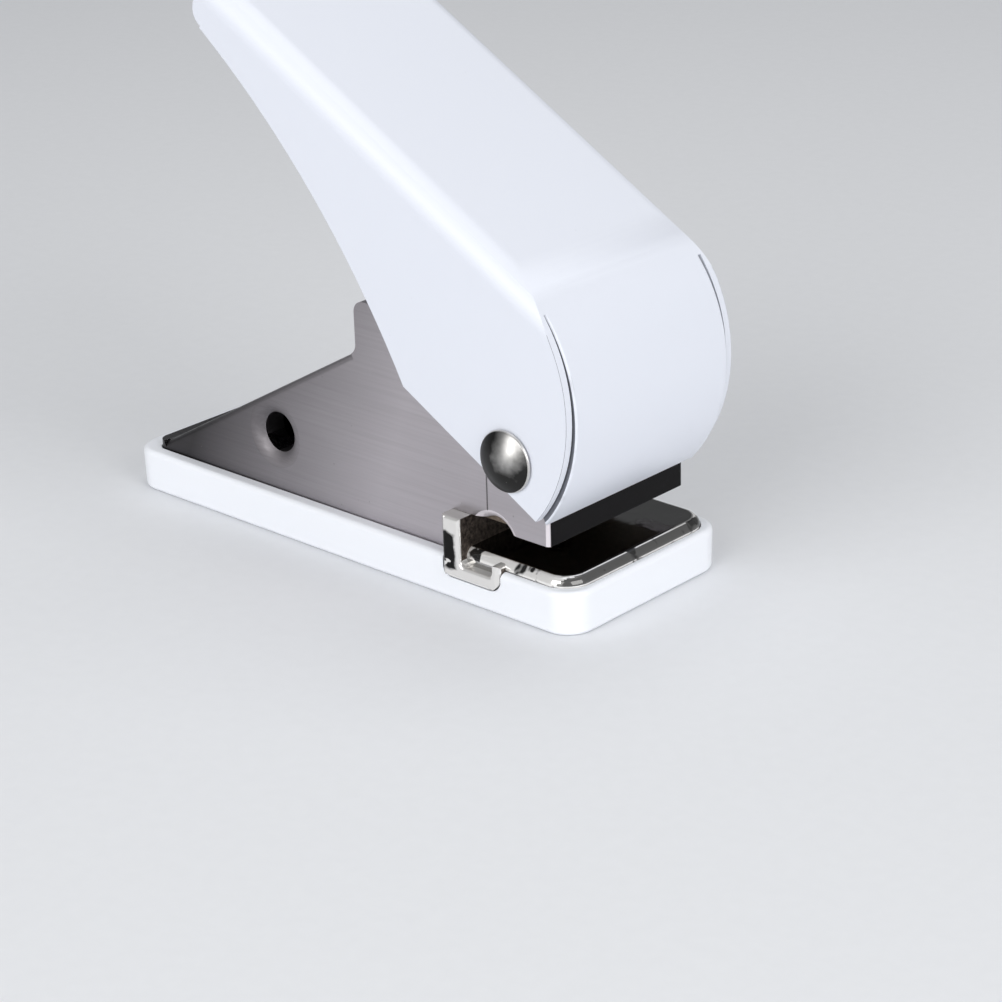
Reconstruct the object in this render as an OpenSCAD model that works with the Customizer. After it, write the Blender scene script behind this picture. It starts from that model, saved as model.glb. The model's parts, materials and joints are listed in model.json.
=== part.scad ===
// Dart flight punch: a small desk punch with a folded lever, a cast body on a
// lift-off chip tray, a slotted jaw and a spring-returned punch.
// Millimetres, +Z up, +X towards the slot, origin at the centre of the underside.

/* [Chip tray] */
// Length of the tray from back to front
tray_l = 75.5; // [70:0.1:82]
// Width of the tray ledge beside the body
tray_ledge = 1.9; // [1.4:0.1:3]
// Height of the tray rim
tray_h = 5.5; // [4.8:0.1:6.2]
// Radius of the tray corners in plan
tray_corner_r = 3.6; // [2:0.1:6]
// Thickness of the tray floor
tray_floor = 1.6; // [1.2:0.1:2]

/* [Body] */
// Outside width of the metal body and of the jaws
body_w = 24.2; // [22:0.1:25]
// Wall of the cast body
wall = 2; // [1.6:0.1:2.4]
// Slope of the ramp
ramp_angle = 29.5; // [26:0.1:31]
// Back end of the body
ramp_back_x = -34.8; // [-35.6:0.1:-33]
// Height of the blunt back end above the tray rim
toe_h = 1.05; // [0.4:0.05:1.6]
// Back face of the raised block
step_x = 2.8; // [0:0.1:5]
// Top of the raised block
block_top_z = 33.3; // [32.6:0.1:34]
// Place of the cross hole along the body
hole_x = -12.25; // [-14:0.05:-8]
// Height of the cross hole
hole_z = 12.7; // [12:0.1:13.4]
// Diameter of the cross hole
hole_d = 5.2; // [4:0.1:5.6]
// Width of the cross hole's rounded mouths
hole_rim = 2; // [0.6:0.1:2.2]

/* [Jaw] */
// Front face of the upper jaw
jaw_front_x = 32.9; // [32.4:0.1:33]
// Underside of the upper jaw
jaw_bottom_z = 9.8; // [9.4:0.1:10.2]
// Sheet of the front cover
cover_t = 1.5; // [1.2:0.1:1.7]
// Radius of the arch in the jaw sides
arch_r = 2.8; // [2.4:0.1:3.1]
// Top of the lower jaw
die_top_z = 6.7; // [6.4:0.1:7]
// Front edge of the lower jaw
die_front_x = 36.6; // [35:0.1:36.7]
// Underside of the lower jaw
die_bottom_z = 3; // [2.6:0.1:3.6]
// Face of the back stop that the flight is pushed against
stop_x = 20.7; // [20.2:0.1:20.9]
// Thickness of the back stop
stop_t = 2.9; // [2:0.1:3]
// Height of the back stop above the lower jaw
stop_h = 4; // [3.6:0.1:4.2]
// How far the ears of the stop reach past the body sides
ear_reach = 2.2; // [1.2:0.1:2.6]

/* [Punch] */
// Punch axis, measured from the back stop
punch_back = 2.7; // [2.4:0.05:3]
// Diameter of the punched hole
punch_d = 3.2; // [2.6:0.1:3.4]
// Diameter of the punch shank
shank_d = 5; // [4.4:0.1:5.4]
// Radial play of the sliding and turning fits
play = 0.05; // [0.02:0.01:0.08]
// Diameter of the pressed cap
cap_d = 10; // [9.6:0.1:10.6]
// Dome radius of the pressed cap
cap_dome_r = 6.5; // [6:0.1:7.5]
// Wire of the return spring
wire_d = 0.8; // [0.6:0.05:0.9]
// Mean diameter of the return spring
coil_d = 7; // [6.8:0.1:7.4]
// Turns of the return spring
coil_turns = 6; // [5:1:7]

/* [Lever] */
// Thickness of the spacers between the body and the lever sides
spacer_t = 1.5; // [1.2:0.1:2]
// Sheet of the lever
sheet = 1; // [0.8:0.1:1.2]
// Tilt of the lever at rest
lever_tilt = 29.9; // [28:0.1:31]
// Swing of the lever from rest to closed
lever_swing = 30; // [28:1:31]
// Radius of the round nose
nose_r = 19.6; // [19.2:0.1:20.2]
// Outside radius of the fold along the lever
fold_r = 3; // [2:0.1:4]
// Distance from the pivot to the back end
lever_l = 64.5; // [58:0.5:70]
// Depth of the lever sides below the pivot
lever_drop = 3.5; // [3.2:0.1:4]
// How far the nose strip reaches below the lever sides
strip_over = 0.8; // [0.4:0.1:1]
// How far the lever sides stand back behind the nose strip at its foot
wall_back = 0.7; // [0.3:0.1:1]
// Pivot place along the body
pivot_x = 29.1; // [28.9:0.1:29.3]
// Pivot height
pivot_z = 20.4; // [20:0.1:20.8]
// Diameter of the pivot rivet
pivot_d = 4; // [3.4:0.1:4.2]
// Diameter of the rivet heads
head_d = 7.5; // [6.5:0.1:8]

/* [Hidden] */
$fn = 64;
fit = 0.1;
half_w = body_w / 2;
tray_w = body_w + 2 * tray_ledge;
lever_w = body_w + 2 * (spacer_t + fit + sheet);
in_y = half_w - wall;
punch_x = stop_x + punch_back;
seam_x = punch_x;
stop_back_x = stop_x - stop_t;
stop_top_z = die_top_z + stop_h;
ear_y = half_w + ear_reach;
ear_floor_z = tray_h - 0.8;
ear_front_x = punch_x + 3.4;
ear_lip = 0.9;
ear_lip_z = die_top_z - 0.4;
ear_back_r = 1.3;
ear_front_r = 1.8;
ear_fillet = 0.8;
arch_x = seam_x + 0.85;
arch_z = jaw_bottom_z - 1.5;
arch_lip = 1.2;
hole_round = 1.3 * hole_rim;
hole_boss_d = hole_d + 2;
hole_boss_in = 2;
tray_bay_wall = 0.9;
die_half_w = tray_w / 2 - tray_bay_wall - fit;
die_corner_r = 3.5;
die_edge_r = 1.2;
ear_r = 0.7;
cavity_gap = 0.15;
cavity_y = half_w + 0.2;
toe_z = tray_h + toe_h;
toe_x = ramp_back_x + (toe_h - fit) / tan(ramp_angle);
ramp_edge_r = 0.9;
bead_r = 0.55;
bead_l = 7;
bead_play = 0.15;
bead_y = cavity_y + 0.1;
bead_z = tray_floor + 2;
bead_places = [ramp_back_x + 12, step_x + 3];
guide_back_x = stop_back_x - 5;
web_t = 2;
web_x = guide_back_x - web_t;
block_r = 6.5;
roof_z = block_top_z - cover_t;
pocket_d = coil_d + 2.4;
pocket_z = pivot_z + 3.6;
washer_t = 0.6;
tip_rest_z = jaw_bottom_z + 1.4;
shoulder_z = tip_rest_z + 9;
lever_in = lever_w / 2 - sheet;
tail_r = 114.5;
tail_u = 78.4;
tail_v = 99.8;
tail_end = sqrt(tail_r * tail_r - (tail_u - lever_l) * (tail_u - lever_l)) - tail_v;
heel_r = 2.2;
nose_u = nose_r * 0.6;
slit_from = 23;
slit_w = 0.2;
screw_x = web_x - 2.2;
screw_y = 5.2;
screw_d = 3;
screw_head = screw_d / 2;
screw_grip = 5.2;
pin_d = 3;
pin_x = guide_back_x + 2.6;
pin_z = block_top_z - 6.3;

function ramp_z(x) = tray_h + fit + (x - ramp_back_x) * tan(ramp_angle);
function ramp_in_z(x) = ramp_z(x) - wall / cos(ramp_angle);

// Height of the dome centre of the cap when the lever just touches it, for a lever
// tilt of a degrees: against the top plate, or further round against the bend.
reach_r = nose_r - sheet - cap_dome_r;
punch_u = punch_x - pivot_x;
function plate_touch(a) = (reach_r - punch_u * sin(a)) / cos(a);
function bend_touch(a) =
    let (off = punch_u + nose_u * cos(a))
    nose_u * sin(a) + sqrt(reach_r * reach_r - off * off);
function touch_z(a) =
    pivot_z + (punch_u * cos(a) - plate_touch(a) * sin(a) < -nose_u ? plate_touch(a) : bend_touch(a));

// Stroke over the whole swing, and how far the lever gets ahead of an even stroke on the way.
stroke = touch_z(lever_tilt) - touch_z(lever_tilt - lever_swing);
lead = max([for (i = [0 : 60])
    touch_z(lever_tilt) - touch_z(lever_tilt - lever_swing * i / 60) - stroke * i / 60]);
echo(stroke = stroke, lead = lead);
cap_gap = max(lead, 0) + 0.06;
cap_top_z = touch_z(lever_tilt) + cap_dome_r - cap_gap;
cap_crown = cap_dome_r - sqrt(cap_dome_r * cap_dome_r - cap_d * cap_d / 4);
cap_rim = 1.2;
cap_under_z = cap_top_z - cap_crown - cap_rim;
shank_top_z = cap_under_z + 1.6;

// Extrudes an XZ outline across the width, centred on Y.
module across(w) {
    rotate([90, 0, 0])
        linear_extrude(w, center = true)
            children();
}

// A round bar across the width at one place of the side view.
module cross_bar(x, z, d, w) {
    translate([x, 0, z])
        rotate([90, 0, 0])
            cylinder(d = d, h = w, center = true);
}

// What rounding by r takes off a corner at x, y; the corner points towards sx, sy.
module corner_off(x, y, r, sx, sy) {
    difference() {
        translate([sx > 0 ? x - r : x - 1, sy > 0 ? y - r : y - 1])
            square([r + 1, r + 1]);
        translate([x - sx * r, y - sy * r])
            circle(r);
    }
}

// Plan outline with its own corner radius at each end.
module plan(x0, x1, half, r0, r1) {
    translate([x0 + r0, -half])
        square([x1 - x0 - r0 - r1, 2 * half]);
    translate([x0, -half + r0])
        square([r0 + 0.01, 2 * (half - r0)]);
    translate([x1 - r1 - 0.01, -half + r1])
        square([r1 + 0.01, 2 * (half - r1)]);
    for (s = [-1, 1]) {
        translate([x0 + r0, s * (half - r0)])
            circle(r0);
        translate([x1 - r1, s * (half - r1)])
            circle(r1);
    }
}

// Wall outline from the corner axis outwards: rounded foot, slight draft, rounded rim.
foot_r = 0.6;
rim_r = 0.7;
draft = 0.1;
tray_edge = concat(
    [for (i = [0 : 6]) let (a = 15 * i)
        [-draft - foot_r + foot_r * sin(a), foot_r - foot_r * cos(a)]],
    [for (i = [0 : 6]) let (a = 15 * i)
        [-rim_r + rim_r * cos(a), tray_h - rim_r + rim_r * sin(a)]]
);

module tray_slab(half, length) {
    edge = [for (p = tray_edge) [half + p[0], p[1]]];
    back = [for (i = [len(edge) - 1 : -1 : 0]) [-edge[i][0], edge[i][1]]];
    rotate([90, 0, 90])
        linear_extrude(length, center = true)
            polygon(concat(edge, back));
}

module tray_block() {
    r = tray_corner_r;
    tray_slab(tray_w / 2, tray_l - 2 * r);
    rotate([0, 0, 90])
        tray_slab(tray_l / 2, tray_w - 2 * r);
    for (sx = [-1, 1], sy = [-1, 1])
        translate([sx * (tray_l / 2 - r), sy * (tray_w / 2 - r), 0])
            rotate_extrude()
                polygon(concat([[0, 0]], [for (p = tray_edge) [r + p[0], p[1]]], [[0, tray_h]]));
}

// Room for the ears of the stop, all round them.
module ear_notch() {
    x0 = stop_back_x - cavity_gap;
    x1 = ear_front_x + cavity_gap;
    z0 = die_bottom_z - cavity_gap;
    r = ear_r + cavity_gap;
    intersection() {
        linear_extrude(2 * tray_h)
            plan(x0, x1, ear_y + cavity_gap, r, r);
        across(2 * tray_w)
            difference() {
                translate([x0, z0])
                    square([x1 - x0, tray_h]);
                corner_off(x0, z0, ear_back_r + cavity_gap, -1, -1);
                corner_off(x1, z0, ear_front_r + cavity_gap, 1, -1);
            }
    }
}

module base_tray() {
    color("white") {
        difference() {
            tray_block();
            // Room for the body, and a wider bay for the lower jaw
            translate([0, 0, tray_floor])
                linear_extrude(tray_h) {
                    plan(ramp_back_x - cavity_gap, stop_x, cavity_y, 1.7, 1);
                    plan(stop_back_x - cavity_gap, die_front_x + cavity_gap, die_half_w + fit, 1,
                        die_corner_r + cavity_gap);
                }
            ear_notch();
        }
        // Ribs under the lower jaw
        for (s = [-1, 1])
            translate([stop_back_x + 1, s * 8.5 - 0.75, tray_floor - 0.2])
                cube([die_front_x - stop_back_x - 5, 1.5, die_bottom_z - tray_floor + 0.2]);
        // Key beads that place the body walls
        for (s = [-1, 1], x = bead_places)
            translate([x, s * bead_y, bead_z])
                rotate([0, 90, 0])
                    cylinder(r = bead_r, h = bead_l, center = true);
    }
}

// Side view of the body: blunt toe, ramp, fillet, raised block and the corner over the stop.
module body_side() {
    fr = 1.5;
    fx = step_x - fr;
    fz = ramp_z(fx) + fr / cos(ramp_angle);
    difference() {
        union() {
            polygon([
                [ramp_back_x, tray_floor], [stop_back_x, tray_floor],
                [stop_back_x, stop_top_z + 0.05], [seam_x, stop_top_z + 0.05],
                [seam_x, block_top_z], [step_x, block_top_z],
                [step_x, ramp_z(step_x)], [toe_x, toe_z], [ramp_back_x, toe_z]
            ]);
            difference() {
                polygon([
                    [step_x + 0.5, fz], [step_x + 0.5, ramp_z(step_x) - 1], [step_x, ramp_z(step_x) - 1],
                    [fx + fr * sin(ramp_angle), fz - fr * cos(ramp_angle)], [fx, fz]
                ]);
                translate([fx, fz])
                    circle(fr);
            }
        }
        corner_off(step_x, block_top_z, fr, -1, 1);
    }
}

// Rounds one long edge of the ramp, from the toe up to the fillet.
module ramp_edge_cut(s) {
    start = 0.4;
    length = (step_x - 0.8 - toe_x) / cos(ramp_angle);
    translate([toe_x, 0, toe_z])
        rotate([0, -ramp_angle, 0])
            translate([-start, 0, 0])
                rotate([90, 0, 90])
                    linear_extrude(length + start)
                        corner_off(s * half_w, 0, ramp_edge_r, s, 1);
}

// A round hole across the body, its mouths at both sides widened by lip with a rounding of radius bend.
module mouthed_hole(x, z, r, lip, bend) {
    depth = bend - sqrt(bend * bend - lip * lip);
    cross_bar(x, z, 2 * r, body_w + 2);
    for (s = [-1, 1])
        translate([x, s * half_w, z])
            rotate([s * 90, 0, 0])
                rotate_extrude()
                    difference() {
                        translate([0, -0.5])
                            square([r + lip, depth + 0.5]);
                        translate([r + lip, bend])
                            circle(bend);
                    }
}

module arch_cut() {
    mouthed_hole(arch_x, arch_z, arch_r, arch_lip, arch_lip);
}

module roof_hole() {
    translate([punch_x, 0, roof_z - 1])
        cylinder(d = pocket_d + 0.2, h = cover_t + 2);
}

module body_frame() {
    color("silver")
        difference() {
            union() {
                difference() {
                    intersection() {
                        across(body_w)
                            body_side();
                        linear_extrude(block_top_z + 1)
                            plan(ramp_back_x, seam_x + 4, half_w, 1.5, 1);
                        translate([ramp_back_x - 1, -body_w, 0])
                            cube([seam_x - ramp_back_x + 1, 2 * body_w, block_top_z + 1]);
                    }
                    // Hollow under the ramp and in the block, round the bosses of the cross hole
                    difference() {
                        across(2 * in_y)
                            polygon([
                                [ramp_back_x + 4, 0], [web_x, 0], [web_x, roof_z],
                                [step_x + wall, roof_z], [step_x + wall, ramp_in_z(step_x + wall)],
                                [ramp_back_x + 4, ramp_in_z(ramp_back_x + 4)]
                            ]);
                        for (s = [-1, 1])
                            translate([hole_x, s * in_y, hole_z])
                                rotate([90, 0, 0])
                                    cylinder(d = hole_boss_d, h = 2 * hole_boss_in, center = true);
                    }
                    // Bay of the punch guide, open to the front
                    across(2 * in_y)
                        polygon([
                            [guide_back_x, stop_top_z + 0.05], [seam_x + 1, stop_top_z + 0.05],
                            [seam_x + 1, roof_z], [guide_back_x, roof_z]
                        ]);
                    // Way for the tongue of the lower jaw
                    across(2 * in_y)
                        polygon([
                            [web_x - 1, 0], [stop_back_x + 1, 0],
                            [stop_back_x + 1, die_top_z + 0.02], [web_x - 1, die_top_z + 0.02]
                        ]);
                }
                for (s = [-1, 1])
                    translate([screw_x, s * screw_y, die_top_z + 0.02])
                        cylinder(d = 7, h = 7);
            }
            for (s = [-1, 1]) {
                ramp_edge_cut(s);
                translate([screw_x, s * screw_y, 0])
                    cylinder(d = screw_d + 2 * play, h = die_top_z + screw_grip + 1.2);
                // Channels that take the key beads of the tray from below
                for (x = bead_places) {
                    translate([x, s * bead_y, bead_z])
                        rotate([0, 90, 0])
                            cylinder(r = bead_r + bead_play, h = bead_l + 4 * bead_play, center = true);
                    translate([x, s * bead_y, bead_z / 2])
                        cube([bead_l + 4 * bead_play, 2 * (bead_r + bead_play), bead_z], center = true);
                }
            }
            mouthed_hole(hole_x, hole_z, hole_d / 2, hole_rim, hole_round);
            cross_bar(pin_x, pin_z, pin_d + 2 * play, body_w + 2);
            arch_cut();
            roof_hole();
        }
}

// Side view of the upper jaw in front of the seam.
module jaw_side(inset) {
    x1 = jaw_front_x - inset;
    z1 = block_top_z - inset;
    r = block_r - inset;
    translate([seam_x - 2, jaw_bottom_z - 2])
        square([x1 - seam_x + 2, z1 - r - jaw_bottom_z + 2]);
    translate([seam_x - 2, z1 - r - 0.01])
        square([x1 - r - seam_x + 2, r + 0.01]);
    translate([x1 - r, z1 - r])
        circle(r);
}

module front_cover() {
    color("gainsboro")
        difference() {
            intersection() {
                across(body_w)
                    jaw_side(0);
                linear_extrude(block_top_z + 1)
                    plan(seam_x - 6, jaw_front_x, half_w, 1, 0.6);
                translate([seam_x, -body_w, jaw_bottom_z])
                    cube([20, 2 * body_w, block_top_z]);
            }
            intersection() {
                across(2 * (half_w - cover_t))
                    jaw_side(cover_t);
                translate([seam_x - 1, -body_w, jaw_bottom_z - 1])
                    cube([jaw_front_x - cover_t - seam_x + 1, 2 * body_w, block_top_z]);
            }
            arch_cut();
            roof_hole();
            cross_bar(pivot_x, pivot_z, pivot_d + 2 * play, body_w + 2);
        }
}

module punch_guide() {
    gx = jaw_front_x - cover_t - play;
    gz = roof_z - play;
    gr = block_r - cover_t;
    color("darkgray")
        difference() {
            across(2 * (in_y - play))
                difference() {
                    union() {
                        translate([guide_back_x + play, stop_top_z + 0.3])
                            square([gx - guide_back_x - play, gz - gr - stop_top_z - 0.3]);
                        translate([guide_back_x + play, gz - gr - 0.01])
                            square([gx - gr - guide_back_x - play, gr + 0.01]);
                        translate([gx - gr, gz - gr])
                            circle(gr);
                        translate([stop_x + 0.25, jaw_bottom_z])
                            square([gx - stop_x - 0.25, 4]);
                    }
                }
            translate([punch_x, 0, jaw_bottom_z - 1])
                cylinder(d = punch_d + 2 * play, h = 10);
            translate([punch_x, 0, shoulder_z - stroke - 0.5])
                cylinder(d = shank_d + 2 * play, h = block_top_z);
            translate([punch_x, 0, pocket_z])
                cylinder(d = pocket_d, h = block_top_z);
            cross_bar(pivot_x, pivot_z, pivot_d + 2 * play, body_w);
            cross_bar(pin_x, pin_z, pin_d + 2 * play, body_w);
        }
}

module guide_pin() {
    color("dimgray")
        difference() {
            cross_bar(pin_x, pin_z, pin_d, body_w - 0.4);
            cross_bar(pin_x, pin_z, pin_d - 1.2, body_w);
        }
}

// C-shaped side view of the stop and its ears: back post, floor, and a lip up to the jaw's rim.
module ear_side() {
    gap = ear_front_x - ear_lip - stop_x;
    difference() {
        translate([stop_back_x, die_bottom_z]) {
            square([ear_front_x - stop_back_x, ear_lip_z - die_bottom_z]);
            square([stop_t, stop_top_z - die_bottom_z]);
        }
        translate([stop_x, ear_floor_z]) {
            translate([0, ear_fillet])
                square([gap, stop_h]);
            translate([ear_fillet, 0])
                square([gap - 2 * ear_fillet, stop_h]);
            for (x = [ear_fillet, gap - ear_fillet])
                translate([x, ear_fillet])
                    circle(ear_fillet);
        }
        corner_off(stop_back_x, die_bottom_z, ear_back_r, -1, -1);
        corner_off(ear_front_x, die_bottom_z, ear_front_r, 1, -1);
        corner_off(ear_front_x, ear_lip_z, ear_lip / 2, 1, 1);
    }
}

// Side of the lower jaw's edge: x outwards to reach, rounded at the top.
module jaw_edge(reach) {
    h = die_top_z - die_bottom_z;
    e = die_edge_r;
    square([reach - e, h]);
    square([reach, h - e]);
    translate([reach - e, h - e])
        circle(e);
}

// Front of the lower jaw: rounded corners in plan and a rounded top edge all round.
module jaw_plate() {
    r = die_corner_r;
    x0 = stop_back_x + 1;
    x1 = die_front_x - r;
    translate([0, 0, die_bottom_z]) {
        for (s = [0, 1])
            translate([x0, 0, 0])
                mirror([0, s, 0])
                    rotate([90, 0, 90])
                        linear_extrude(x1 - x0)
                            jaw_edge(die_half_w);
        translate([x0, 0, 0])
            rotate([90, 0, 0])
                linear_extrude(2 * (die_half_w - r), center = true)
                    jaw_edge(die_front_x - x0);
        for (s = [-1, 1])
            translate([x1, s * (die_half_w - r), 0])
                rotate_extrude()
                    intersection() {
                        jaw_edge(r);
                        square([r, die_top_z]);
                    }
    }
}

module die_plate() {
    color("lightslategray")
        difference() {
            union() {
                jaw_plate();
                // Tongue screwed up against the body
                translate([0, 0, die_bottom_z])
                    linear_extrude(die_top_z - die_bottom_z)
                        plan(screw_x - 4.6, stop_back_x + 2, in_y - 0.15, 1.5, 0.1);
                // Back stop with its ears, rounded at the upright edges
                intersection() {
                    across(2 * ear_y)
                        ear_side();
                    linear_extrude(stop_top_z)
                        plan(stop_back_x, ear_front_x, ear_y, ear_r, ear_r);
                }
            }
            translate([punch_x, 0, die_bottom_z - 1])
                cylinder(d = punch_d + 2.1, h = 10);
            for (s = [-1, 1])
                translate([screw_x, s * screw_y, 0]) {
                    cylinder(d = screw_d + 0.4, h = 20);
                    translate([0, 0, die_bottom_z - 0.01])
                        cylinder(d1 = 2 * screw_d + 0.2, d2 = screw_d + 0.2, h = screw_head);
                }
        }
}

module die_insert() {
    color("slategray")
        translate([punch_x, 0, 0])
            difference() {
                translate([0, 0, die_bottom_z])
                    cylinder(d = punch_d + 2.08, h = die_top_z - die_bottom_z);
                translate([0, 0, die_bottom_z - 1])
                    cylinder(d = punch_d + 2 * play, h = 10);
                translate([0, 0, die_bottom_z - 0.01])
                    cylinder(d1 = punch_d + 1, d2 = punch_d + 0.1, h = 1.2);
            }
}

module die_screws() {
    color("dimgray")
        for (s = [-1, 1])
            translate([screw_x, s * screw_y, 0])
                difference() {
                    union() {
                        translate([0, 0, die_bottom_z])
                            cylinder(d1 = 2 * screw_d, d2 = screw_d, h = screw_head);
                        translate([0, 0, die_bottom_z + screw_head / 3])
                            cylinder(d = screw_d, h = die_top_z - die_bottom_z + screw_grip);
                    }
                    for (a = [0, 90])
                        translate([0, 0, die_bottom_z])
                            rotate([0, 0, a])
                                cube([3.2, 0.6, 1.6], center = true);
                }
}

module punch_pin() {
    color("slategray")
        translate([punch_x, 0, 0])
            difference() {
                union() {
                    translate([0, 0, tip_rest_z])
                        cylinder(d = punch_d, h = shoulder_z - tip_rest_z + 0.5);
                    translate([0, 0, shoulder_z])
                        cylinder(d = shank_d, h = shank_top_z - shoulder_z);
                }
                // Hollow-ground cutting edge
                translate([0, 0, tip_rest_z - 2.6])
                    rotate([0, 90, 0])
                        cylinder(r = 3.2, h = 10, center = true);
            }
}

module punch_cap() {
    color("silver")
        translate([punch_x, 0, 0])
            difference() {
                intersection() {
                    translate([0, 0, cap_under_z])
                        cylinder(d = cap_d, h = cap_crown + cap_rim + 1);
                    translate([0, 0, cap_top_z - cap_dome_r])
                        sphere(cap_dome_r);
                }
                translate([0, 0, cap_under_z - 1])
                    cylinder(d = shank_d + 0.02, h = shank_top_z - cap_under_z + 1);
            }
}

module spring_washer() {
    color("dimgray")
        translate([punch_x, 0, pocket_z])
            difference() {
                cylinder(d = pocket_d - 0.2, h = washer_t);
                translate([0, 0, -1])
                    cylinder(d = shank_d + 0.3, h = 3);
            }
}

// Return spring: one tube wound by formula, with its ends turned square to their seats.
coil_z0 = pocket_z + washer_t;
coil_h = cap_under_z - coil_z0;
coil_lead = wire_d * 1.6;
coil_n = 8 * coil_turns;
coil_path = concat(
    [[coil_d / 2, 0, 0.01], [coil_d / 2, 0, wire_d]],
    [for (i = [1 : coil_n - 1])
        let (a = 360 * coil_turns * i / coil_n)
        [coil_d / 2 * cos(a), coil_d / 2 * sin(a),
            coil_lead + (coil_h - 2 * coil_lead) * i / coil_n]],
    [[coil_d / 2, 0, coil_h - wire_d], [coil_d / 2, 0, coil_h - 0.01]]
);
coil_gap = min([for (i = [0 : len(coil_path) - 1])
    for (j = [i + 5 : 1 : len(coil_path) - 1])
        norm(coil_path[i] - coil_path[j])]) - wire_d;
echo(coil_gap = coil_gap);

module return_spring() {
    count = len(coil_path);
    pts = [for (i = [0 : count - 1])
        let (
            p = coil_path[i],
            d = coil_path[min(i + 1, count - 1)] - coil_path[max(i - 1, 0)],
            t = d / norm(d),
            o = [p[0], p[1], 0] / norm([p[0], p[1], 0]),
            b0 = cross(t, o),
            b = b0 / norm(b0),
            n = cross(b, t)
        )
        for (k = [0 : 5])
            p + wire_d / 2 * (cos(60 * k) * n + sin(60 * k) * b)];
    sides = [for (i = [0 : count - 2], k = [0 : 5])
        let (a = 6 * i + k, b = 6 * i + (k + 1) % 6)
        each [[a, a + 6, b], [b, a + 6, b + 6]]];
    caps = concat(
        [for (k = [1 : 4]) [0, k, k + 1]],
        [for (k = [1 : 4]) let (o = 6 * (count - 1)) [o, o + k + 1, o + k]]
    );
    color("lightgray")
        translate([punch_x, 0, coil_z0])
            polyhedron(points = pts, faces = concat(sides, caps), convexity = 10);
}

// Side view of the lever blank about its pivot, level: X forward, Y up, top at r.
module lever_blank(r) {
    low = -lever_drop - 2;
    translate([-lever_l - 1, low])
        square([lever_l + 1 - nose_u, r - low]);
    intersection() {
        translate([-nose_u, 0])
            circle(r);
        translate([-nose_u, low])
            square([2 * nose_r, 2 * nose_r]);
    }
}

// Side outline that trims the blank: level lower edge, long sweep of the grip, rounded heel.
module lever_trim() {
    difference() {
        translate([-lever_l, -lever_drop])
            square([lever_l + nose_r, nose_r + lever_drop + 1]);
        translate([-tail_u, -tail_v])
            circle(tail_r, $fn = 128);
        corner_off(-lever_l, tail_end, heel_r, -1, -1);
    }
}

// Solid form of the lever drawn in by inset. The folds run straight and fade out
// where the nose curves away from them.
module lever_form(inset) {
    half = lever_w / 2 - inset;
    top = nose_r - inset;
    difference() {
        across(2 * half)
            lever_blank(top);
        for (s = [-1, 1])
            translate([-lever_l - 2, 0, 0])
                rotate([90, 0, 90])
                    linear_extrude(lever_l + nose_r)
                        corner_off(s * half, top, fold_r - inset, s, 1);
    }
}

// Side view of the slits that part the nose strip from the walls.
module slit_side() {
    reach = 3 * nose_r;
    from = slit_from - 1.5;
    translate([-nose_u, 0])
        intersection() {
            difference() {
                circle(nose_r + 1);
                circle(nose_r - fold_r + 0.3);
            }
            polygon([
                [0, 0], [reach * sin(from), reach * cos(from)], [reach, reach], [reach, -reach], [0, -reach]
            ]);
        }
}

// Side view of the nose strip's foot, which reaches lower on its outer face.
module strip_foot() {
    start = sqrt((nose_r - sheet) * (nose_r - sheet) - lever_drop * lever_drop) - nose_u + 0.1;
    low = -lever_drop - strip_over;
    polygon([
        [start, -lever_drop], [start + sheet, low], [nose_r, low], [nose_r, 0], [start, 0]
    ]);
}

// What the lever sides are set back by, from nothing at the top of the slits.
module wall_setback() {
    translate([-nose_u, 0])
        difference() {
            polygon([
                [0, 0], [2 * nose_r * sin(slit_from), 2 * nose_r * cos(slit_from)],
                [2 * nose_r, 0], [2 * nose_r, -nose_r], [0, -nose_r]
            ]);
            translate([-wall_back * cos(slit_from), wall_back * sin(slit_from)])
                circle(nose_r);
        }
}

module lever_level() {
    difference() {
        intersection() {
            lever_form(0);
            union() {
                across(lever_w + 2)
                    lever_trim();
                across(2 * lever_in - slit_w)
                    strip_foot();
            }
        }
        lever_form(sheet);
        for (s = [-1, 1])
            translate([0, s * (lever_in + sheet), 0])
                across(2 * sheet + slit_w)
                    wall_setback();
        for (s = [-1, 1])
            translate([0, s * (lever_in - slit_w / 2), 0])
                across(slit_w)
                    slit_side();
        rotate([90, 0, 0])
            cylinder(d = pivot_d + 2 * play, h = lever_w + 2, center = true);
    }
}

module lever_handle() {
    color("whitesmoke")
        translate([pivot_x, 0, pivot_z])
            rotate([0, lever_tilt, 0])
                lever_level();
}

module pivot_rivet() {
    h = 1.7;
    rim = 0.35;
    dome = (head_d * head_d / 4 + (h - rim) * (h - rim)) / (2 * (h - rim));
    y0 = lever_w / 2 + fit;
    color("silver") {
        cross_bar(pivot_x, pivot_z, pivot_d, 2 * y0 + 0.4);
        for (s = [-1, 1])
            translate([pivot_x, s * y0, pivot_z])
                rotate([-s * 90, 0, 0])
                    intersection() {
                        cylinder(d = head_d, h = h);
                        translate([0, 0, h - dome])
                            sphere(dome);
                    }
    }
}

module pivot_spacers() {
    color("gray")
        for (s = [-1, 1])
            translate([pivot_x, s * (half_w + (lever_in - fit - half_w) / 2), pivot_z])
                rotate([90, 0, 0])
                    difference() {
                        cylinder(d = 2 * lever_drop, h = lever_in - fit - half_w, center = true);
                        cylinder(d = pivot_d + 2 * play, h = 10, center = true);
                    }
}

base_tray();
body_frame();
front_cover();
punch_guide();
guide_pin();
die_plate();
die_insert();
die_screws();
punch_pin();
punch_cap();
spring_washer();
return_spring();
lever_handle();
pivot_rivet();
pivot_spacers();
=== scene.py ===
"""Looks of the dart flight punch: rounded edges, wound spring, finishes and the stage."""
import json
import math

import bmesh
import bpy
from bpy.props import FloatProperty, FloatVectorProperty, IntProperty, PointerProperty
from mathutils import Matrix, Vector


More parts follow.
